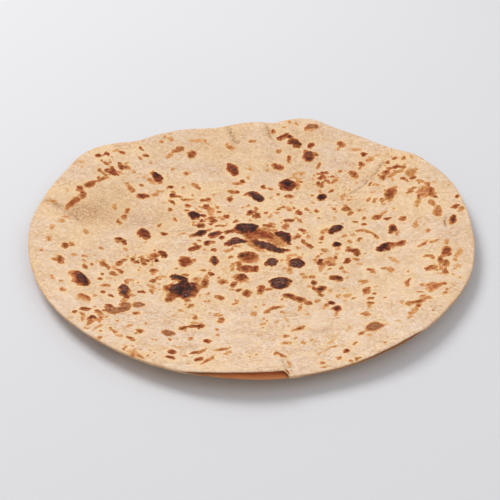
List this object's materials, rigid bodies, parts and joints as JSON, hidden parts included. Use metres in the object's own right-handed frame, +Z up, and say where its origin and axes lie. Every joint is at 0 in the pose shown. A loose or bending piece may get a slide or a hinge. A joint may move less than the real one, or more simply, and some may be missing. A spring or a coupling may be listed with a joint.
{
  "type": "chapati",
  "caption": "Thin round wheat flatbread with a flat middle, a low wavy rim and two air pockets that open at the front edge.",
  "frame": {"origin": "under the middle of the bread's box, on the surface that it rests on", "axes": "+Z up out of the bread's top face, -Y towards the front edge with the open air pockets, +X to the right as seen from the front"},
  "size_m": [0.246, 0.2508, 0.0131],
  "materials": {
    "baked_dough": "matt and floury, pale wheat with brown and black scorch marks"
  },
  "bodies": {
    "root": {"chapati": "baked_dough"}
  },
  "joints": []
}
